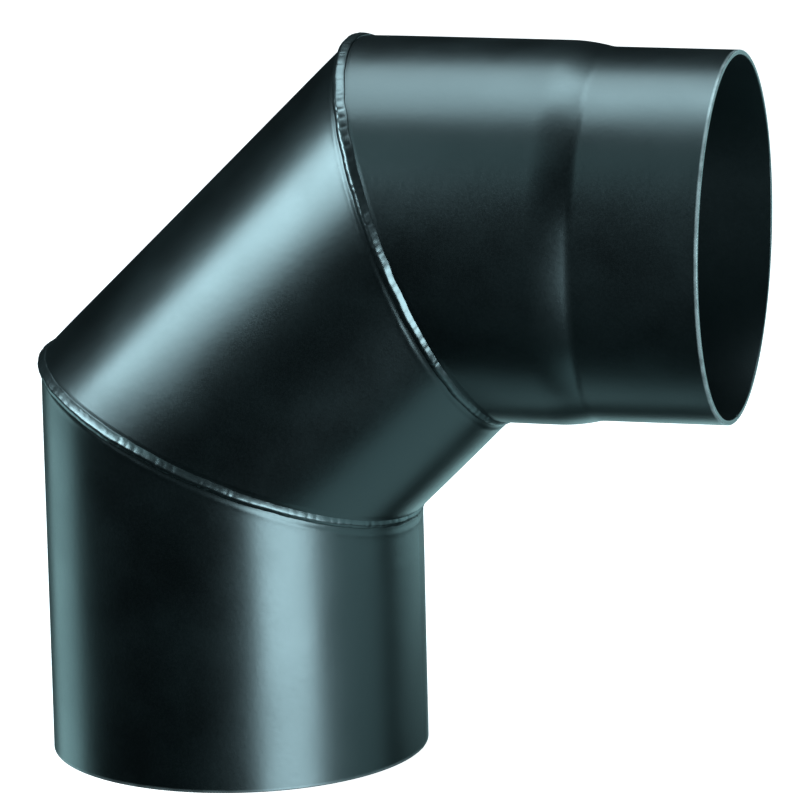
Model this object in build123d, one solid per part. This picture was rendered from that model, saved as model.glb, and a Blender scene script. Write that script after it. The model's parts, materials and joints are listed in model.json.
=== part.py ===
from build123d import *
from math import cos, radians, sin, sqrt, tan
import os

# Ninety-degree flue elbow of 2 mm sheet steel, welded up from three pieces of pipe.
# Frame: origin at the centre of the lower rim, +Z up the lower leg's axis, +X towards the
# spigot. The legs and the middle gore share the XZ plane as their plane of symmetry.
# All sizes are in millimetres.

# Pipe section
BORE_RADIUS = 75.0            # inside of all three pieces: nominal 150 mm pipe
WALL = 2.0                    # sheet thickness
PIPE_RADIUS = BORE_RADIUS + WALL
EDGE_BREAK = 0.3              # deburring chamfer on both open rims

# Run of the elbow's axis
BEND_ANGLE = 90.0
MITRE_JOINTS = 2
LOWER_LENGTH = 132.0          # lower rim to the first mitre, along the axis
GORE_RISE = 86.0              # how far the gore carries the axis up, and equally sideways
SPIGOT_REACH = 210.0          # lower leg's axis to the spigot's end

# Socket mouth, ironed out on a mandrel so that its inside is to size and its outside unchanged
SOCKET_SIZING = 0.3           # mouth's radius over the bore's
SOCKET_RADIUS = BORE_RADIUS + SOCKET_SIZING
SOCKET_DEPTH = 60.0           # deeper than a spigot is long
SOCKET_TAPER = 4.0            # length of the cone from the mouth back to the bore

# Spigot, swaged down to slide into another pipe's socket
SPIGOT_CLEARANCE = 0.5        # radial gap in a socket mouth
SPIGOT_RADIUS = SOCKET_RADIUS - SPIGOT_CLEARANCE
SPIGOT_LENGTH = 50.0          # parallel length behind the end
SWAGE_LENGTH = 15.0           # S-shaped step down from the pipe's radius
SWAGE_SHARE = 0.8             # of the step taken by its first, gentler arc

# Welds
ROOT_GAP = 1.0                # gap between two mitred edges, filled by the weld
SEAM_GAP = 2.0                # width of the flush weld along each rolled sheet's edges
BEAD_HALF_WIDTH = 2.8         # a mitre weld's section is an ellipse across both edges
BEAD_HALF_HEIGHT = 2.4
BEAD_LIFT = 0.2               # section's centre outside mid-wall: the cap stands prouder than the root

# Worked-out sizes
MITRE_ANGLE = BEND_ANGLE / (2 * MITRE_JOINTS)
BEAD_RADIUS = BORE_RADIUS + WALL / 2 + BEAD_LIFT
BEAD_LONG_RADIUS = BEAD_RADIUS / cos(radians(MITRE_ANGLE))
AXIS_HEIGHT = LOWER_LENGTH + GORE_RISE
GORE_LENGTH = GORE_RISE * sqrt(2)
TRIM_SPAN = 4 * PIPE_RADIUS   # long enough to run past any mitre cut

LOWER_CORNER = Vector(0, 0, LOWER_LENGTH)
UPPER_CORNER = Vector(GORE_RISE, 0, AXIS_HEIGHT)


def tilted_plane(origin, tilt):
    """Plane whose normal leans by tilt degrees from +Z towards +X."""
    normal = (sin(radians(tilt)), 0, cos(radians(tilt)))
    return Plane(origin=origin, x_dir=(0, 1, 0), z_dir=normal)


def mitre_plane(corner, joint, side):
    """Plane of a mitred edge: side -1 ends the earlier piece, +1 starts the later one."""
    plane = tilted_plane(corner, MITRE_ANGLE * (2 * joint + 1))
    return plane.offset(side * ROOT_GAP / 2)


def lower_tube():
    """Lower leg before its seam is slit: a socket mouth at the bottom and a mitre at the top."""
    with BuildSketch(Plane.XZ) as profile:
        with BuildLine():
            Polyline(
                (BORE_RADIUS, TRIM_SPAN),
                (BORE_RADIUS, SOCKET_DEPTH + SOCKET_TAPER),
                (SOCKET_RADIUS, SOCKET_DEPTH),
                (SOCKET_RADIUS, EDGE_BREAK),
                (SOCKET_RADIUS + EDGE_BREAK, 0),
                (PIPE_RADIUS - EDGE_BREAK, 0),
                (PIPE_RADIUS, EDGE_BREAK),
                (PIPE_RADIUS, TRIM_SPAN),
                close=True,
            )
        make_face()
    tube = revolve(profile.sketch, Axis.Z)
    return split(tube, bisect_by=mitre_plane(LOWER_CORNER, 0, -1), keep=Keep.BOTTOM)


def gore_tube():
    """Middle gore before its seam is slit: a pipe mitred at both ends."""
    middle = (LOWER_CORNER + UPPER_CORNER) * 0.5
    frame = tilted_plane(middle, BEND_ANGLE / 2)
    outside = frame * Cylinder(PIPE_RADIUS, GORE_LENGTH + TRIM_SPAN)
    inside = frame * Cylinder(BORE_RADIUS, GORE_LENGTH + TRIM_SPAN)
    tube = outside - inside
    tube = split(tube, bisect_by=mitre_plane(LOWER_CORNER, 0, 1), keep=Keep.TOP)
    return split(tube, bisect_by=mitre_plane(UPPER_CORNER, 1, -1), keep=Keep.BOTTOM)


def swage_edge(along, radius, drop):
    """S-curve of a gentle arc and a tighter one that steps down by drop."""
    start = (along, radius)
    middle = (along + SWAGE_LENGTH * SWAGE_SHARE, radius - drop * SWAGE_SHARE)
    end = (along + SWAGE_LENGTH, radius - drop)
    TangentArc(start, middle, tangent=(1, 0))
    TangentArc(end, middle, tangent=(-1, 0))


def upper_tube():
    """Upper leg before its seam is slit: a mitre, the swage and the spigot's rim."""
    swage_start = SPIGOT_REACH - SPIGOT_LENGTH - SWAGE_LENGTH
    spigot_start = SPIGOT_REACH - SPIGOT_LENGTH
    drop = PIPE_RADIUS - SPIGOT_RADIUS
    spigot_bore = SPIGOT_RADIUS - WALL
    with BuildSketch() as profile:
        with BuildLine():
            Polyline(
                (swage_start, BORE_RADIUS),
                (0, BORE_RADIUS),
                (0, PIPE_RADIUS),
                (swage_start, PIPE_RADIUS),
            )
            swage_edge(swage_start, PIPE_RADIUS, drop)
            Polyline(
                (spigot_start, SPIGOT_RADIUS),
                (SPIGOT_REACH - EDGE_BREAK, SPIGOT_RADIUS),
                (SPIGOT_REACH, SPIGOT_RADIUS - EDGE_BREAK),
                (SPIGOT_REACH, spigot_bore + EDGE_BREAK),
                (SPIGOT_REACH - EDGE_BREAK, spigot_bore),
                (spigot_start, spigot_bore),
            )
            swage_edge(swage_start, BORE_RADIUS, drop)
        make_face()
    tube = Pos(0, 0, AXIS_HEIGHT) * revolve(profile.sketch, Axis.X)
    return split(tube, bisect_by=mitre_plane(UPPER_CORNER, 1, 1), keep=Keep.TOP)


def throat_slit(point, tilt):
    """Thin slab through the throat side of the wall, along an axis that leans by tilt."""
    frame = tilted_plane(point, tilt)
    slab = Box(SEAM_GAP, PIPE_RADIUS * 2, TRIM_SPAN * 2)
    return frame * Pos(0, -PIPE_RADIUS, 0) * slab


def slit_shell(tube, point, tilt):
    """The shell with its longitudinal slit, and the flush weld that fills the slit."""
    slit = throat_slit(point, tilt)
    return tube - slit, tube & slit


def mitre_bead(corner, joint):
    """Ring of weld on a mitre: a flattened section carried round the pipe's oblique cut."""
    cut = tilted_plane(corner, MITRE_ANGLE * (2 * joint + 1))
    heel_first = Plane(origin=cut.origin, x_dir=cut.y_dir, z_dir=cut.z_dir)
    path = Edge.make_ellipse(BEAD_LONG_RADIUS, BEAD_RADIUS, plane=heel_first)
    across = Plane(origin=path @ 0, x_dir=cut.z_dir, z_dir=path % 0)
    return sweep(across * Ellipse(BEAD_HALF_WIDTH, BEAD_HALF_HEIGHT), path=path)


def build():
    lower_leg, lower_leg_seam = slit_shell(lower_tube(), LOWER_CORNER, 0)
    middle_gore, middle_gore_seam = slit_shell(gore_tube(), LOWER_CORNER, BEND_ANGLE / 2)
    upper_leg, upper_leg_seam = slit_shell(upper_tube(), UPPER_CORNER, BEND_ANGLE)
    lower_bead = mitre_bead(LOWER_CORNER, 0)
    lower_bead = lower_bead - lower_leg - middle_gore - lower_leg_seam - middle_gore_seam
    upper_bead = mitre_bead(UPPER_CORNER, 1)
    upper_bead = upper_bead - middle_gore - upper_leg - middle_gore_seam - upper_leg_seam
    return {
        "lower_leg": lower_leg,
        "middle_gore": middle_gore,
        "upper_leg": upper_leg,
        "lower_mitre_weld": lower_bead,
        "upper_mitre_weld": upper_bead,
        "lower_leg_seam_weld": lower_leg_seam,
        "middle_gore_seam_weld": middle_gore_seam,
        "upper_leg_seam_weld": upper_leg_seam,
    }


os.makedirs("parts", exist_ok=True)
for node, shape in build().items():
    export_step(shape, f"parts/{node}.step")
    print(node, round(shape.volume, 1), len(shape.solids()))
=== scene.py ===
import json
import math

import bpy
import numpy as np
from mathutils import Matrix, Vector


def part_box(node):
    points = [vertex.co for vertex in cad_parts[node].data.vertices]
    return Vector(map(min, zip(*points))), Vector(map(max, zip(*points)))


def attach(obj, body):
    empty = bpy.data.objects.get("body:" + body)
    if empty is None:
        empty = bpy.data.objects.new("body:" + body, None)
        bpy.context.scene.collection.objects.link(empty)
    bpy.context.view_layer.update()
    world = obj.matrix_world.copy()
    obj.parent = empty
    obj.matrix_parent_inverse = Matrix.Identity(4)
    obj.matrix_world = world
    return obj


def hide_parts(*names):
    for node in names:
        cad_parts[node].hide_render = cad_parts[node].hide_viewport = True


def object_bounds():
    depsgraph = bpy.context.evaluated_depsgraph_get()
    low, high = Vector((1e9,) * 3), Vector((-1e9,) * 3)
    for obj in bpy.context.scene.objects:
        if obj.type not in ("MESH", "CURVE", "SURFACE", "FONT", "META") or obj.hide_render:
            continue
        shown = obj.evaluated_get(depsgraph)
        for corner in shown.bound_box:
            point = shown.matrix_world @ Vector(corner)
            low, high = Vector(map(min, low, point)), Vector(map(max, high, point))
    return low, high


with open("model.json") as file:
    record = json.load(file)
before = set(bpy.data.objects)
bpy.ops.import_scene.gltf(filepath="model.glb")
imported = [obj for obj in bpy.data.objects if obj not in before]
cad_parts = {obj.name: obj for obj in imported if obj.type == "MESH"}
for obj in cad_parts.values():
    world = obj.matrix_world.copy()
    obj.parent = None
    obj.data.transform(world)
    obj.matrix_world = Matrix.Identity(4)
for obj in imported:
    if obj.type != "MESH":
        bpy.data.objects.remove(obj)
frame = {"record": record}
CAD_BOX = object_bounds()

# ---------------------------------------------------------------- sizes, from the frame

MM = 0.001
MOUNTS = {mount["name"]: mount for mount in frame["record"]["mounts"]}


def middle(node):
    """Centre of a CAD node's box."""
    low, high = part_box(node)
    return np.array((low + high) / 2)


WALL = 2.0 * MM
PIPE_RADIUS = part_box("lower_leg")[1].y
BORE_RADIUS = PIPE_RADIUS - WALL
EDGE_BREAK = 0.3 * MM
SOCKET_RADIUS = MOUNTS["socket"]["dims"]["r_mm"] * MM
SOCKET_DEPTH = MOUNTS["socket"]["dims"]["length_mm"] * MM + EDGE_BREAK
SOCKET_TAPER = 4.0 * MM
SPIGOT_RADIUS = MOUNTS["spigot"]["dims"]["r_mm"] * MM
SPIGOT_DEPTH = MOUNTS["spigot"]["dims"]["length_mm"] * MM + EDGE_BREAK
LOWER_FOOT = np.zeros(3)           # centre of the lower rim: the frame's origin
LOWER_CORNER = middle("lower_mitre_weld")
UPPER_CORNER = middle("upper_mitre_weld")
LOWER_LENGTH = LOWER_CORNER[2]
GORE_LENGTH = float(np.linalg.norm(UPPER_CORNER - LOWER_CORNER))
UPPER_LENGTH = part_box("upper_leg")[1].x - UPPER_CORNER[0]

# Leans of the three axes and of the two mitre planes' normals, from +Z towards +X
MITRE = math.radians(22.5)
LOWER_LEAN = 0.0
GORE_LEAN = 2 * MITRE
UPPER_LEAN = 4 * MITRE
SLIT_WIDTH = 2.0 * MM

# Swage, measured along the upper leg from its mitre corner
SWAGE_LENGTH = 19.0 * MM
SPIGOT_START = UPPER_LENGTH - SPIGOT_DEPTH
SWAGE_START = SPIGOT_START - SWAGE_LENGTH
SWAGE_SHARE = 0.82                 # of the step taken by its first, gentler curve
SWAGE_POWER = 2.0                  # how late that curve bends

SLICES = 480                       # round each pipe
SHARP_ANGLE = math.radians(50.0)   # faces that meet at more keep a crease

# Seeds of the unevenness of each sheet, bead, longitudinal weld and mitred edge
SHEET_SEEDS = {"lower_leg": 21, "middle_gore": 22, "upper_leg": 23}
BEAD_SEEDS = {"lower_mitre_weld": 31, "upper_mitre_weld": 41}
SEAM_SEEDS = {"lower_leg": 51, "middle_gore": 53, "upper_leg": 55}
EDGE_SEEDS = {"lower_leg_end": 11, "gore_start": 12, "gore_end": 13, "upper_leg_start": 14}


# ---------------------------------------------------------------- mesh helpers

def lean_axes(lean):
    """Throat side, +Y side and axis of a pipe or plane that leans from +Z towards +X."""
    throat = np.array([math.cos(lean), 0.0, -math.sin(lean)])
    side = np.array([0.0, 1.0, 0.0])
    axis = np.array([math.sin(lean), 0.0, math.cos(lean)])
    return throat, side, axis


def smoothstep(value, low, high):
    share = np.clip((value - low) / (high - low), 0.0, 1.0)
    return share * share * (3 - 2 * share)


def hump(value, centre, width):
    return np.exp(-(((value - centre) / width) ** 2))


def ring_noise(seed, count, fewest, most, phase):
    """Seeded unevenness round a closed ring, of about -1 to 1; phase runs to 2 pi."""
    draw = np.random.default_rng(seed)
    total = 0.0
    for _ in range(count):
        turns = draw.integers(fewest, most)
        total = total + np.sin(turns * phase + draw.uniform(0, 2 * math.pi))
    return total / math.sqrt(count)


def line_noise(seed, count, shortest, longest, along):
    """Seeded unevenness along a line, of about -1 to 1."""
    draw = np.random.default_rng(seed)
    total = 0.0
    for _ in range(count):
        pace = 2 * math.pi / draw.uniform(shortest, longest)
        total = total + np.sin(pace * along + draw.uniform(0, 2 * math.pi))
    return total / math.sqrt(count)


def make_piece(name, points, quads, attributes=()):
    """Object from points and quads; the sign of its volume turns its faces outwards."""
    vertices = points.reshape(-1, 3)
    first, second, third = (vertices[quads[:, k]] for k in range(3))
    if np.einsum("ij,ij->", first, np.cross(second, third)) < 0:
        quads = quads[:, ::-1]
    mesh = bpy.data.meshes.new(name)
    mesh.from_pydata(vertices.tolist(), [], quads.tolist())
    mesh.shade_smooth()
    mesh.set_sharp_from_angle(angle=SHARP_ANGLE)
    for key, values in dict(attributes).items():
        attribute = mesh.attributes.new(key, "FLOAT", "POINT")
        attribute.data.foreach_set("value", values.astype(np.float32).ravel())
    piece = bpy.data.objects.new(name, mesh)
    bpy.context.scene.collection.objects.link(piece)
    return piece


def tube_quads(slices, ring, closed):
    """Quads between neighbouring rings of points; closed also joins the last to the first."""
    starts = np.arange(slices if closed else slices - 1)[:, None] * ring
    nexts = (starts + ring) % (slices * ring)
    this = np.arange(ring)[None, :]
    following = (this + 1) % ring
    corners = [starts + this, starts + following, nexts + following, nexts + this]
    return np.stack(corners, axis=-1).reshape(-1, 4)


def ladder_quads(offset, ring, flip):
    """Cap of a ring whose first half runs out and whose second half runs back beside it."""
    rung = np.arange(ring // 2 - 1)
    quads = np.stack([rung, ring - 1 - rung, ring - 2 - rung, rung + 1], axis=-1) + offset
    return quads[:, ::-1] if flip else quads


def cap_quads(slices, ring):
    """Ladders over both ends of an open tube."""
    last = (slices - 1) * ring
    return np.concatenate([ladder_quads(0, ring, False), ladder_quads(last, ring, True)])


# ---------------------------------------------------------------- shells

EDGE_ROUND = 0.35 * MM             # rims, after deburring and painting
RIM_FLAT = 0.2 * MM
RIM_ARC_ROWS = 5
RIM_PLACES = np.array([0.5, 0.8, 1.0, 1.2, 1.5, 2.2, 4.0, 7.0]) * MM  # rows past the rounding
# Pale band on the outer rim edges: rubbed-off paint and a painted highlight line; the spigot's rim
# gets the full band
RIM_WEAR_AND_HIGHLIGHT = (0.8 * MM, 1.5 * MM)    # all of it up to the first, none past the second
SOCKET_WEAR_AND_HIGHLIGHT = 0.3                  # paint rubbed off the outer edge, with a painted highlight along it, 1 for all of it
SPIGOT_WEAR_AND_HIGHLIGHT = 1.0

# Sheet edges beside a weld: a strip by the cut is sunk to a depth, climbs back along a bank
# of distances from the mitre plane, and the earlier piece's has a low lip past it
RAISED_EDGE = {"lip": 0.06 * MM, "depth": 0.15 * MM, "bank": (2.8 * MM, 4.4 * MM)}
MELTED_EDGE = {"lip": 0.0, "depth": 0.12 * MM, "bank": (2.0 * MM, 4.0 * MM)}
LIP_UNEVENNESS = 0.35
LIP_NOISE = (14, 8, 70)            # waves, and the fewest and most turns of one
LIP_WIDTH = 0.8 * MM
PINCH_DEPTH = 0.12 * MM            # how far the weld's shrinkage draws the wall in
PINCH_REACH = 12.0 * MM
# Distances of the rows beside a mitre from its plane, the cut edge first
MITRE_PLACES = np.array([
    0.5, 1.0, 1.6, 2.1, 2.4, 2.6, 2.8, 3.0, 3.2, 3.35, 3.5, 3.65, 3.8, 3.95, 4.1, 4.3,
    4.5, 4.75, 5.0, 5.4, 6.2, 7.4, 9.0, 11.0, 13.5, 16.0,
]) * MM

WAVE_HEIGHT = 0.035 * MM           # rolled sheet is never quite round
WAVE_LENGTH = 150.0 * MM
WAVE_COUNT = 9
WAVE_TURNS = (1, 6)
FILL_STEP = 4.0 * MM               # between rows of a plain stretch
MOUTH_STATIONS = np.array([12, 18, 24, 30, 36, 42, 48, 54, 58, 60, 61, 62, 63, 64, 66]) * MM
SWAGE_MARGIN = 2.0 * MM            # rows start before the swage and end past it
SWAGE_ROWS = 46
SPIGOT_MARGINS = (6.0 * MM, 8.0 * MM)
SWAGE_STATIONS = np.linspace(SWAGE_START - SWAGE_MARGIN, SPIGOT_START + SWAGE_MARGIN, SWAGE_ROWS)
SPIGOT_STATIONS = np.arange(
    SPIGOT_START + SPIGOT_MARGINS[0], UPPER_LENGTH - SPIGOT_MARGINS[1], FILL_STEP)


def swage_drop(along):
    """How far the S-shaped step has brought the wall in, along the upper leg."""
    share = np.clip((along - SWAGE_START) / (SPIGOT_START - SWAGE_START), 0.0, 1.0)
    early = SWAGE_SHARE * (share / SWAGE_SHARE) ** SWAGE_POWER
    late = 1 - (1 - SWAGE_SHARE) * ((1 - share) / (1 - SWAGE_SHARE)) ** SWAGE_POWER
    return (PIPE_RADIUS - SPIGOT_RADIUS) * np.where(share < SWAGE_SHARE, early, late)


def lower_radius(along, outside):
    if outside:
        return PIPE_RADIUS + 0 * along
    widened = np.clip((SOCKET_DEPTH + SOCKET_TAPER - along) / SOCKET_TAPER, 0.0, 1.0)
    return BORE_RADIUS + (SOCKET_RADIUS - BORE_RADIUS) * widened


def gore_radius(along, outside):
    return (PIPE_RADIUS if outside else BORE_RADIUS) + 0 * along


def upper_radius(along, outside):
    return (PIPE_RADIUS if outside else BORE_RADIUS) - swage_drop(along)


def seam_profile(distance, outside, edge, unevenness):
    """Radial change of the wall at a distance from a mitre plane."""
    change = -PINCH_DEPTH * hump(distance, 0.0, PINCH_REACH)
    if outside:
        lip = edge["lip"] * (1 + LIP_UNEVENNESS * unevenness)
        change = change + lip * hump(distance, edge["bank"][1] + LIP_WIDTH / 2, LIP_WIDTH)
        change = change - edge["depth"] * (1 - smoothstep(distance, *edge["bank"]))
    return change


def rows(angles, along, change=0.0, wear_and_highlight=0.0):
    """Array of place along the pipe, radial change, and wear with painted highlight, for each slice
    and row.
    """
    shape = (len(angles), np.shape(along)[-1])
    fields = [np.broadcast_to(field, shape) for field in (along, change, wear_and_highlight)]
    return np.stack(fields, axis=-1)


def rim_rows(place, inwards, outside, angles, wear_and_highlight):
    """Rows of a square-cut rim: over its rounded edge, then on along the wall."""
    arc = np.linspace(0, math.pi / 2, RIM_ARC_ROWS)
    depth = np.concatenate([[0.0], EDGE_ROUND * (1 - np.cos(arc)), RIM_PLACES])
    drop = np.concatenate([
        [EDGE_ROUND + RIM_FLAT],
        EDGE_ROUND * (1 - np.sin(arc)),
        0 * RIM_PLACES,
    ])
    if not outside:
        return rows(angles, place + inwards * depth, drop)
    # pale band by the outer edge: paint rubbed off, and a painted highlight line
    worn_and_highlight = wear_and_highlight * (1 - smoothstep(depth, *RIM_WEAR_AND_HIGHLIGHT))
    worn_and_highlight[0] = 0.0                  # the flat keeps its paint
    return rows(angles, place + inwards * depth, -drop, worn_and_highlight)


def mitre_rows(place, inwards, outside, angles, edge, seed):
    """Rows beside a mitre, each parallel to its plane, from the cut edge outwards."""
    radius = PIPE_RADIUS if outside else BORE_RADIUS
    plane = place + inwards * radius * np.cos(angles)[:, None] * math.tan(MITRE)
    along = plane + inwards * MITRE_PLACES[None, :] / math.cos(MITRE)
    unevenness = ring_noise(seed, *LIP_NOISE, angles)[:, None]
    change = seam_profile(MITRE_PLACES[None, :], outside, edge, unevenness)
    return rows(angles, along, change)


def fill_rows(first, last, angles):
    """Rows that share out the gap between two blocks of rows."""
    low, high = first[:, -1:, 0], last[:, :1, 0]
    count = max(1, round(float(np.mean(high - low)) / FILL_STEP))
    share = np.linspace(0, 1, count + 2)[None, 1:-1]
    return rows(angles, low * (1 - share) + high * share)


def lower_blocks(outside, angles):
    rim = rim_rows(0.0, 1, outside, angles, SOCKET_WEAR_AND_HIGHLIGHT)
    mouth = rows(angles, MOUTH_STATIONS)
    seed = EDGE_SEEDS["lower_leg_end"]
    mitre = mitre_rows(LOWER_LENGTH, -1, outside, angles, RAISED_EDGE, seed)[:, ::-1]
    return [rim, mouth, fill_rows(mouth, mitre, angles), mitre]


def gore_blocks(outside, angles):
    start_seed, end_seed = EDGE_SEEDS["gore_start"], EDGE_SEEDS["gore_end"]
    start = mitre_rows(0.0, 1, outside, angles, MELTED_EDGE, start_seed)
    end = mitre_rows(GORE_LENGTH, -1, outside, angles, RAISED_EDGE, end_seed)[:, ::-1]
    return [start, fill_rows(start, end, angles), end]


def upper_blocks(outside, angles):
    mitre = mitre_rows(0.0, 1, outside, angles, MELTED_EDGE, EDGE_SEEDS["upper_leg_start"])
    swage = rows(angles, np.concatenate([SWAGE_STATIONS, SPIGOT_STATIONS]))
    rim = rim_rows(UPPER_LENGTH, -1, outside, angles, SPIGOT_WEAR_AND_HIGHLIGHT)[:, ::-1]
    return [mitre, fill_rows(mitre, swage, angles), swage, rim]


def sheet_waves(seed, angles, along):
    """Low, long unevenness of a rolled sheet."""
    draw = np.random.default_rng(seed)
    total = 0.0
    for _ in range(WAVE_COUNT):
        turns = draw.integers(*WAVE_TURNS)
        pace = draw.uniform(-1, 1) * 2 * math.pi / WAVE_LENGTH
        total = total + np.sin(turns * angles + pace * along + draw.uniform(0, 2 * math.pi))
    return WAVE_HEIGHT * total / math.sqrt(WAVE_COUNT)


def shell(name, sheet, origin, lean, blocks, radius_at):
    """Rolled sheet with a slit along its throat: outside rows, then inside rows back."""
    half_slit = math.asin(SLIT_WIDTH / 2 / PIPE_RADIUS)
    angles = np.linspace(half_slit, 2 * math.pi - half_slit, SLICES)
    throat, side, axis = lean_axes(lean)
    outline = []
    for outside in (True, False):
        wall = np.concatenate(blocks(outside, angles), axis=1)
        along = wall[..., 0]
        radius = radius_at(along, outside) + wall[..., 1]
        radius = radius + sheet_waves(SHEET_SEEDS[sheet], angles[:, None], along)
        inside = np.full_like(along, 0.0 if outside else 1.0)
        outline.append(np.stack([along, radius, wall[..., 2], inside], axis=-1))
    outline = np.concatenate([outline[0], outline[1][:, ::-1]], axis=1)
    along, radius, wear_and_highlight, inside = (outline[..., k] for k in range(4))
    around = np.cos(angles)[:, None, None] * throat + np.sin(angles)[:, None, None] * side
    points = origin + along[..., None] * axis + radius[..., None] * around
    slices, ring = along.shape
    quads = np.concatenate([tube_quads(slices, ring, False), cap_quads(slices, ring)])
    return make_piece(name, points, quads, {"wear_and_highlight": wear_and_highlight, "inside": inside})


# ---------------------------------------------------------------- mitre welds

BEAD_LIFT = 0.2 * MM               # the section's centre line outside mid-wall
BEAD_RADIUS = (PIPE_RADIUS + BORE_RADIUS) / 2 + BEAD_LIFT
# Corners that the bead's section is rounded from: across towards the later piece, and height.
# A ridge with a short face to the earlier piece and a broad one to the later, over a low root
BEAD_CORNERS = np.array([
    (-3.1, 0.3), (-2.6, 1.2), (-0.8, 2.1), (0.7, 1.5), (2.2, 0.65),
    (3.0, -0.2), (1.8, -1.6), (0.0, -1.9), (-1.7, -1.6), (-2.9, -0.8),
]) * MM
BEAD_CUTS = 2                      # rounds of corner cutting
CORNER_CUT = 0.25                  # share of an edge that each round takes off at either end
BEAD_WIDTH = 0.92                  # width over the corners' own, and how much it varies
WIDTH_UNEVENNESS = 0.03
RIPPLE_FOOT = (0.2 * MM, 1.1 * MM)  # heights where the ripples start and are full
RIPPLE_PITCH = 4.4 * MM
PITCH_UNEVENNESS = 0.22
RIPPLE_DEPTH = 0.11 * MM
DEPTH_MEAN = 0.70                  # ripples' strength over the full depth, and its spread
DEPTH_UNEVENNESS = 0.35
RIPPLE_SAMPLES = 14                # slices for each ripple
CRESCENT = 0.45                    # how far a ripple's sides trail its crest, in pitches
WANDER = 0.12 * MM
SINK = 0.10 * MM

# Waves, and the fewest and most turns of one, for each kind of unevenness along a bead
PITCH_NOISE = (10, 12, 60)
DEPTH_NOISE = (8, 20, 150)
SINK_NOISE = (10, 6, 50)
WIDTH_NOISE = (8, 9, 60)
WANDER_NOISE = (8, 5, 40)
ARC_STEPS = 20000                  # for measuring the ring's length


def even_turns(long_radius, short_radius):
    """Ellipse parameters evenly spaced by arc length, and the ripples counted at each."""
    turn = np.linspace(0, 2 * math.pi, ARC_STEPS)
    pace = np.hypot(long_radius * np.sin(turn), short_radius * np.cos(turn))
    steps = (pace[1:] + pace[:-1]) / 2 * np.diff(turn)
    length = np.concatenate([[0], np.cumsum(steps)])
    ripples = round(length[-1] / RIPPLE_PITCH)
    share = np.arange(ripples * RIPPLE_SAMPLES) / (ripples * RIPPLE_SAMPLES)
    return np.interp(share * length[-1], length, turn), share * ripples, share


def rounded(corners, cuts):
    """Closed outline with its corners cut again and again towards a smooth curve."""
    for _ in range(cuts):
        following = np.roll(corners, -1, axis=0)
        early = (1 - CORNER_CUT) * corners + CORNER_CUT * following
        late = CORNER_CUT * corners + (1 - CORNER_CUT) * following
        corners = np.stack([early, late], axis=1).reshape(-1, 2)
    return corners


def mitre_weld(name, bead, corner, lean):
    """Closed ring of weld: a rippled cap outside, a low root inside."""
    seed = BEAD_SEEDS[bead]
    throat, side, normal = lean_axes(lean)
    long_radius = BEAD_RADIUS / math.cos(MITRE)
    turn, ripple_count, share = even_turns(long_radius, BEAD_RADIUS)
    phase = 2 * math.pi * share
    count = ripple_count + PITCH_UNEVENNESS * ring_noise(seed, *PITCH_NOISE, phase)
    outwards = np.stack([BEAD_RADIUS * np.cos(turn), long_radius * np.sin(turn)], axis=-1)
    outwards = outwards / np.linalg.norm(outwards, axis=1, keepdims=True)
    outwards = outwards[:, :1] * throat + outwards[:, 1:] * side
    path = long_radius * np.cos(turn)[:, None] * throat
    path = path + BEAD_RADIUS * np.sin(turn)[:, None] * side

    section = rounded(BEAD_CORNERS, BEAD_CUTS)
    level, crown = section[None, :, 0], section[None, :, 1]
    cap = smoothstep(crown, *RIPPLE_FOOT)
    trail = CRESCENT * (level / level.max()) ** 2
    ripple = 0.5 - 0.5 * np.cos(2 * math.pi * (count[:, None] + trail))
    strength = DEPTH_MEAN + DEPTH_UNEVENNESS * ring_noise(seed + 1, *DEPTH_NOISE, phase)
    strength = RIPPLE_DEPTH * strength[:, None]
    sunk = np.clip(ring_noise(seed + 2, *SINK_NOISE, phase), -1, 1)
    sink = SINK * (0.5 + 0.5 * sunk)[:, None]
    width = BEAD_WIDTH + WIDTH_UNEVENNESS * ring_noise(seed + 3, *WIDTH_NOISE, phase)
    width = width[:, None]
    wander = WANDER * ring_noise(seed + 4, *WANDER_NOISE, phase)[:, None]
    across = width * level + wander
    height = crown - (sink + strength * (1 - ripple)) * cap
    points = corner + path[:, None] + across[..., None] * normal
    points = points + height[..., None] * outwards[:, None]
    quads = tube_quads(len(turn), len(section), True)
    return make_piece(name, points, quads)


# ---------------------------------------------------------------- longitudinal welds

CROWN = 0.006 * MM                 # height of its face between the ripples
FLUSH = 0.008 * MM                 # height where it is smooth, and how far its edges sink
CROWN_HALF_WIDTH = 1.15 * MM       # the edges lie just inside the sheet on either side
ROOT_HALF_WIDTH = 0.55 * SLIT_WIDTH
SEAM_STEP = 0.45 * MM              # between cross-sections
SEAM_PITCH = 2.1 * MM
SEAM_RIPPLE = 0.003 * MM
SEAM_CRESCENT = 0.4
SEAM_UNEVENNESS = 0.2
SEAM_SHARPNESS = 0.7               # below 1 sharpens the valleys between ripples
SEAM_NOISE = (7, 4.0 * MM, 30.0 * MM)  # waves, and the shortest and longest of them
CROWN_FADE = 3.0 * MM              # over which the ripples die away
CROWN_POINTS = 9
RIM_INSET = 0.15 * MM              # how far it stops short of an open rim
MITRE_INSET = 2.0 * MM / math.cos(MITRE)  # and of a mitre plane, less than 1 mm from the bead


def throat_change(sheet, along, outside, mitres):
    """How far a shell's throat stands off its plain radius: its waves and its mitred edges."""
    change = sheet_waves(SHEET_SEEDS[sheet], 0.0, along)
    for place, edge in mitres:
        distance = np.abs(along - place) * math.cos(MITRE)
        change = change + seam_profile(distance, outside, edge, 0.0)
    return change


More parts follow.
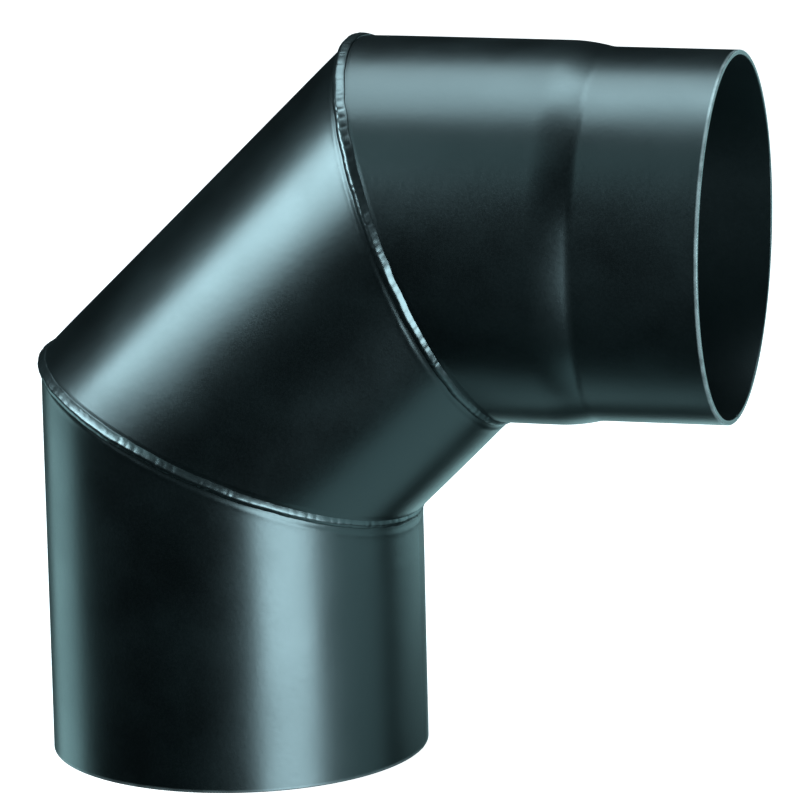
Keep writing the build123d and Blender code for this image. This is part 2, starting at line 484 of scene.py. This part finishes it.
def seam_crown(seed, along, across, flush):
    """Height of a longitudinal weld's face: smooth along the flush stretch, else rippled."""
    first, last = flush
    cover = smoothstep(along, first - CROWN_FADE, first)
    cover = cover * (1 - smoothstep(along, last, last + CROWN_FADE))
    unevenness = line_noise(seed, *SEAM_NOISE, along)
    count = along / SEAM_PITCH + SEAM_UNEVENNESS * unevenness + SEAM_CRESCENT * across**2
    ripple = SEAM_RIPPLE * np.abs(np.sin(math.pi * count)) ** SEAM_SHARPNESS
    crown = CROWN * (1 + SEAM_UNEVENNESS * unevenness) + ripple
    crown = crown * (1 - cover) + FLUSH * cover
    return crown * (1 - across**2) - FLUSH * across**2


def seam_weld(name, sheet, origin, lean, span, mitres, radius_at, flush):
    """Strip of weld that fills a shell's slit; flush has its outer and its inner smooth stretch."""
    throat, side, axis = lean_axes(lean)
    along = np.arange(*span, SEAM_STEP)[:, None]
    across = np.linspace(-1, 1, CROWN_POINTS)[None, :]
    seed = SEAM_SEEDS[sheet]
    outer_radius = radius_at(along, True) + throat_change(sheet, along, True, mitres)
    outer_radius = outer_radius + seam_crown(seed, along, across, flush[0])
    inner_radius = radius_at(along, False) + throat_change(sheet, along, False, mitres)
    inner_radius = inner_radius - seam_crown(seed + 1, along, across, flush[1])
    outer_side = CROWN_HALF_WIDTH * across + 0 * along
    inner_side = (ROOT_HALF_WIDTH * across + 0 * along)[:, ::-1]
    sides = np.concatenate([outer_side, inner_side], axis=1)
    radii = np.concatenate([outer_radius, inner_radius[:, ::-1]], axis=1)
    reach = np.sqrt(radii**2 - sides**2)
    points = origin + along[..., None] * axis
    points = points + reach[..., None] * throat + sides[..., None] * side
    slices, ring = sides.shape
    quads = np.concatenate([tube_quads(slices, ring, False), cap_quads(slices, ring)])
    return make_piece(name, points, quads)


# ---------------------------------------------------------------- materials

PAINT_DARK = (0.0001, 0.0008, 0.0009)
PAINT_LIGHT = (0.0005, 0.0024, 0.0026)
# pale rim band: bare steel where paint is rubbed off, and a painted highlight on the rim edges
WORN_AND_HIGHLIGHT_PAINT = (0.36, 0.40, 0.41)
PAINT_INSIDE = (0.003, 0.006, 0.0063)
PAINT_TINT = (0.80, 0.95, 1.0)
PAINT_SHEEN = 1.0                  # specular level

# Roughness at the glossiest and dullest spots, refractive index, depth of the grain in metres
SHEET_FINISH = {"gloss": (0.28, 0.35), "index": 1.65, "grain_depth": 0.000005}
WELD_FINISH = {"gloss": (0.29, 0.37), "index": 1.85, "grain_depth": 0.000007}

# Noise textures: waves per metre, detail and, for the grain, roughness
CLOUD = (26.0, 3.0)
SPECKLE = (900.0, 2.0)
PATCHES = (160.0, 4.0)
PEEL = (420.0, 2.0)
GRAIN = (2600.0, 2.0, 0.6)
NOISE_SPAN = (0.35, 0.65)          # where most of a noise's values lie
SPECKLE_SHARE = 0.35
PATCH_SPAN = (0.35, 0.60)
PATCH_LEAST = 0.55                 # least of the pale band along a worn edge, rubbed paint and painted highlight
PEEL_DEPTH = 0.04 * MM
BUMP_STRENGTH = 0.6

# A Mix node's sockets: its factor, the two that it mixes and the result
MIX_SOCKETS = {"RGBA": (0, 6, 7, 2), "FLOAT": (0, 2, 3, 0)}


class Nodes:
    """Short calls for building a material's nodes; a socket among the inputs is linked."""

    def __init__(self, name):
        self.material = bpy.data.materials.new(name)
        self.material.use_nodes = True
        self.tree = self.material.node_tree
        self.tree.nodes.clear()

    def add(self, kind, inputs=(), **settings):
        node = self.tree.nodes.new(kind)
        for key, value in settings.items():
            setattr(node, key, value)
        for key, value in dict(inputs).items():
            if isinstance(value, bpy.types.NodeSocket):
                self.tree.links.new(value, node.inputs[key])
            else:
                node.inputs[key].default_value = value
        return node

    def noise(self, place, scale, detail, roughness=0.5):
        values = {"Vector": place, "Scale": scale, "Detail": detail, "Roughness": roughness}
        return self.add("ShaderNodeTexNoise", values).outputs["Fac"]

    def remap(self, value, low, high, to_low, to_high):
        values = {
            "Value": value,
            "From Min": low,
            "From Max": high,
            "To Min": to_low,
            "To Max": to_high,
        }
        return self.add("ShaderNodeMapRange", values).outputs["Result"]

    def mix(self, share, first, second, kind="RGBA"):
        factor, low, high, result = MIX_SOCKETS[kind]
        values = {factor: share, low: first, high: second}
        return self.add("ShaderNodeMix", values, data_type=kind).outputs[result]

    def bump(self, height, distance, normal=None):
        values = {"Height": height, "Distance": distance, "Strength": BUMP_STRENGTH}
        if normal is not None:
            values["Normal"] = normal
        return self.add("ShaderNodeBump", values).outputs["Normal"]


def colour(rgb):
    return (*rgb, 1.0)


def wear_and_highlight_base(nodes, place, base):
    """Duller colour inside the pipes, and a pale band in patches along the edges: paint rubbed off,
    and a painted highlight.
    """
    inside = nodes.add("ShaderNodeAttribute", attribute_name="inside").outputs["Fac"]
    base = nodes.mix(inside, base, colour(PAINT_INSIDE))
    wear_and_highlight = nodes.add("ShaderNodeAttribute", attribute_name="wear_and_highlight").outputs["Fac"]
    patchy = nodes.remap(nodes.noise(place, *PATCHES), *PATCH_SPAN, PATCH_LEAST, 1.0)
    share = nodes.add("ShaderNodeMath", {0: wear_and_highlight, 1: patchy}, operation="MULTIPLY")
    return nodes.mix(share.outputs[0], base, colour(WORN_AND_HIGHLIGHT_PAINT))


def stove_paint(name, finish, worn_and_highlight):
    """Satin heat-resistant black: mottled colour and gloss, fine grain, thin paint and a painted
    highlight on edges.
    """
    nodes = Nodes(name)
    place = nodes.add("ShaderNodeTexCoord").outputs["Object"]
    cloud = nodes.noise(place, *CLOUD)
    speckle = nodes.noise(place, *SPECKLE)
    mottle = nodes.remap(cloud, *NOISE_SPAN, 0.0, 1.0)
    base = nodes.mix(mottle, colour(PAINT_DARK), colour(PAINT_LIGHT))
    gloss = nodes.mix(SPECKLE_SHARE, cloud, speckle, "FLOAT")
    roughness = nodes.remap(gloss, *NOISE_SPAN, *finish["gloss"])
    if worn_and_highlight:
        base = wear_and_highlight_base(nodes, place, base)
    normal = nodes.bump(nodes.noise(place, *PEEL), PEEL_DEPTH)
    normal = nodes.bump(nodes.noise(place, *GRAIN), finish["grain_depth"], normal)
    shader = nodes.add("ShaderNodeBsdfPrincipled", {
        "Base Color": base,
        "Roughness": roughness,
        "Normal": normal,
        "IOR": finish["index"],
        "Specular IOR Level": PAINT_SHEEN,
        "Specular Tint": colour(PAINT_TINT),
    })
    nodes.add("ShaderNodeOutputMaterial", {"Surface": shader.outputs["BSDF"]})
    return nodes.material


FLOOR_GLOW = 1.15                  # a paper table lit from below
FLOOR_DULL = (0.86, 0.87, 0.88)
FLOOR_PALE = (0.90, 0.91, 0.92)
FLOOR_CLOUD = (6.0, 2.0)           # waves per metre and detail
FLOOR_SPAN = (0.3, 0.7)
FLOOR_ROUGHNESS = 0.9


def floor_paper():
    nodes = Nodes("floor_paper")
    place = nodes.add("ShaderNodeTexCoord").outputs["Object"]
    tone = nodes.remap(nodes.noise(place, *FLOOR_CLOUD), *FLOOR_SPAN, 0.0, 1.0)
    base = nodes.mix(tone, colour(FLOOR_DULL), colour(FLOOR_PALE))
    shader = nodes.add("ShaderNodeBsdfPrincipled", {
        "Base Color": base,
        "Roughness": FLOOR_ROUGHNESS,
        "Emission Color": base,
        "Emission Strength": FLOOR_GLOW,
    })
    nodes.add("ShaderNodeOutputMaterial", {"Surface": shader.outputs["BSDF"]})
    return nodes.material


# ---------------------------------------------------------------- the elbow

def build_elbow():
    """All pieces, by the CAD node that each stands for."""
    # Smooth stretches of the longitudinal welds; nowhere lies past the end of every piece
    nowhere = (2 * UPPER_LENGTH, 3 * UPPER_LENGTH)
    mouth = (0.0, SOCKET_DEPTH + SOCKET_TAPER)
    spigot = (SWAGE_START, 2 * UPPER_LENGTH)
    throat_trim = PIPE_RADIUS * math.tan(MITRE)
    lower_end = LOWER_LENGTH - throat_trim
    gore_end = GORE_LENGTH - throat_trim
    return {
        "lower_leg": shell(
            "elbow_lower_leg", "lower_leg", LOWER_FOOT, LOWER_LEAN, lower_blocks, lower_radius),
        "middle_gore": shell(
            "elbow_middle_gore", "middle_gore", LOWER_CORNER, GORE_LEAN, gore_blocks,
            gore_radius),
        "upper_leg": shell(
            "elbow_upper_leg", "upper_leg", UPPER_CORNER, UPPER_LEAN, upper_blocks, upper_radius),
        "lower_mitre_weld": mitre_weld(
            "elbow_lower_mitre_weld", "lower_mitre_weld", LOWER_CORNER, MITRE),
        "upper_mitre_weld": mitre_weld(
            "elbow_upper_mitre_weld", "upper_mitre_weld", UPPER_CORNER, 3 * MITRE),
        "lower_leg_seam_weld": seam_weld(
            "elbow_lower_seam_weld", "lower_leg", LOWER_FOOT, LOWER_LEAN,
            (RIM_INSET, lower_end - MITRE_INSET), [(lower_end, RAISED_EDGE)],
            lower_radius, (nowhere, mouth)),
        "middle_gore_seam_weld": seam_weld(
            "elbow_gore_seam_weld", "middle_gore", LOWER_CORNER, GORE_LEAN,
            (throat_trim + MITRE_INSET, gore_end - MITRE_INSET),
            [(throat_trim, MELTED_EDGE), (gore_end, RAISED_EDGE)],
            gore_radius, (nowhere, nowhere)),
        "upper_leg_seam_weld": seam_weld(
            "elbow_upper_seam_weld", "upper_leg", UPPER_CORNER, UPPER_LEAN,
            (throat_trim + MITRE_INSET, UPPER_LENGTH - RIM_INSET), [(throat_trim, MELTED_EDGE)],
            upper_radius, (spigot, nowhere)),
    }


def finish_elbow(pieces):
    """Materials and slots of every piece; each hangs from the root body, and the CAD node that it
    stands for is hidden.
    """
    sheet = stove_paint("stove_paint", SHEET_FINISH, True)
    bead = stove_paint("weld_paint", WELD_FINISH, False)
    for node, piece in pieces.items():
        weld = node.endswith("weld")
        piece.data.materials.append(bead if weld else sheet)
        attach(piece, "root")
        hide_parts(node)


# ---------------------------------------------------------------- studio

CENTRE = (CAD_BOX[0] + CAD_BOX[1]) / 2
CAMERA_TURN = math.radians(14.41)  # round the elbow, from straight on to its side
CAMERA_RISE = math.radians(13.78)
CAMERA_ROLL = math.radians(-1.36)
CAMERA_DISTANCE = 3.0
CAMERA_LENS = 333.8
CAMERA_SENSOR = 36.0
CAMERA_OFFSET = Vector((5.0, 0.0, -2.0)) * MM
CAMERA_AIM = CENTRE + CAMERA_OFFSET
FLOOR_HALF = 15.0
ROOM_PALE = (0.93, 0.94, 0.95)
ROOM_DARK = (0.002, 0.0035, 0.004)

# Softboxes: azimuth to the right of the camera and elevation in degrees, distance, width
# and height in metres, radiance
KEY_LIGHTS = {
    "light_right": (29.5, -6.0, 1.5, 0.92, 1.05, 6.5),
    "light_left": (-75.5, 31.0, 1.5, 1.16, 0.58, 8.6),
    "light_top": (-152.0, 73.0, 1.5, 1.1, 0.85, 3.0),
    "light_top_right": (125.0, 72.0, 1.5, 0.8, 0.9, 1.9),
}
FILL_LIGHTS = {
    "light_front_top": (-48.0, 52.0, 1.6, 0.8, 0.9, 0.42),
    "light_back_left": (-127.0, -22.0, 1.6, 0.9, 0.7, 1.42),
    "light_back": (180.0, -26.0, 1.8, 0.9, 0.8, 0.75),
    "light_back_right": (136.0, -6.0, 1.6, 1.3, 0.7, 1.05),
    "light_right_side": (76.0, -2.0, 1.6, 1.25, 1.2, 0.62),
    "light_low_left": (-135.0, -68.0, 1.5, 0.9, 0.8, 0.42),
    "light_below": (80.0, -66.0, 1.5, 1.3, 1.1, 0.54),
    "light_low_back": (164.0, -33.0, 1.6, 0.5, 0.5, 0.8),
}
KEY_COLOUR = (0.72, 0.95, 1.0)
FILL_COLOUR = (0.56, 0.95, 0.98)   # as if bounced off teal walls


def direction(azimuth, elevation):
    """Unit vector from the elbow, azimuth to the right of the camera, in degrees."""
    turn = CAMERA_TURN + math.radians(azimuth)
    rise = math.radians(elevation)
    flat = Vector((math.sin(turn), -math.cos(turn), 0.0))
    return flat * math.cos(rise) + Vector((0.0, 0.0, math.sin(rise)))


def softbox(name, tint, azimuth, elevation, distance, width, height, radiance):
    data = bpy.data.lights.new(name, "AREA")
    data.shape = "RECTANGLE"
    data.size = width
    data.size_y = height
    data.energy = radiance * math.pi * width * height
    data.color = tint
    lamp = bpy.data.objects.new(name, data)
    bpy.context.scene.collection.objects.link(lamp)
    towards = direction(azimuth, elevation)
    level = direction(azimuth + 90.0, 0.0)
    turn = Matrix((level, towards.cross(level), towards)).transposed().to_4x4()
    lamp.matrix_world = Matrix.Translation(CENTRE + towards * distance) @ turn
    lamp.visible_camera = False


def make_room():
    """Pale for the camera, dark in reflections, as in a studio behind black flags."""
    world = bpy.data.worlds.new("room")
    bpy.context.scene.world = world
    world.use_nodes = True
    tree = world.node_tree
    tree.nodes.clear()
    rays = tree.nodes.new("ShaderNodeLightPath")
    pale = tree.nodes.new("ShaderNodeBackground")
    pale.inputs["Color"].default_value = colour(ROOM_PALE)
    dark = tree.nodes.new("ShaderNodeBackground")
    dark.inputs["Color"].default_value = colour(ROOM_DARK)
    mixed = tree.nodes.new("ShaderNodeMixShader")
    output = tree.nodes.new("ShaderNodeOutputWorld")
    tree.links.new(rays.outputs["Is Camera Ray"], mixed.inputs[0])
    tree.links.new(dark.outputs[0], mixed.inputs[1])
    tree.links.new(pale.outputs[0], mixed.inputs[2])
    tree.links.new(mixed.outputs[0], output.inputs["Surface"])


def make_floor():
    half = FLOOR_HALF
    corners = [(-half, -half, 0), (half, -half, 0), (half, half, 0), (-half, half, 0)]
    mesh = bpy.data.meshes.new("floor")
    mesh.from_pydata(corners, [], [(0, 1, 2, 3)])
    floor = bpy.data.objects.new("floor", mesh)
    bpy.context.scene.collection.objects.link(floor)
    floor.data.materials.append(floor_paper())
    floor.visible_glossy = False
    floor.visible_diffuse = False
    floor.visible_shadow = False


def make_camera():
    back = direction(0.0, math.degrees(CAMERA_RISE))
    right = Vector((math.cos(CAMERA_TURN), math.sin(CAMERA_TURN), 0.0))
    up = back.cross(right)
    across = right * math.cos(CAMERA_ROLL) + up * math.sin(CAMERA_ROLL)
    upright = up * math.cos(CAMERA_ROLL) - right * math.sin(CAMERA_ROLL)
    data = bpy.data.cameras.new("camera")
    data.sensor_width = CAMERA_SENSOR
    data.lens = CAMERA_LENS
    data.clip_end = 4 * FLOOR_HALF
    camera = bpy.data.objects.new("camera", data)
    bpy.context.scene.collection.objects.link(camera)
    turn = Matrix((across, upright, back)).transposed().to_4x4()
    camera.matrix_world = Matrix.Translation(CAMERA_AIM + back * CAMERA_DISTANCE) @ turn
    bpy.context.scene.camera = camera


finish_elbow(build_elbow())
make_room()
make_floor()
for name, settings in KEY_LIGHTS.items():
    softbox(name, KEY_COLOUR, *settings)
for name, settings in FILL_LIGHTS.items():
    softbox(name, FILL_COLOUR, *settings)
make_camera()
bpy.context.scene.view_settings.view_transform = "Standard"
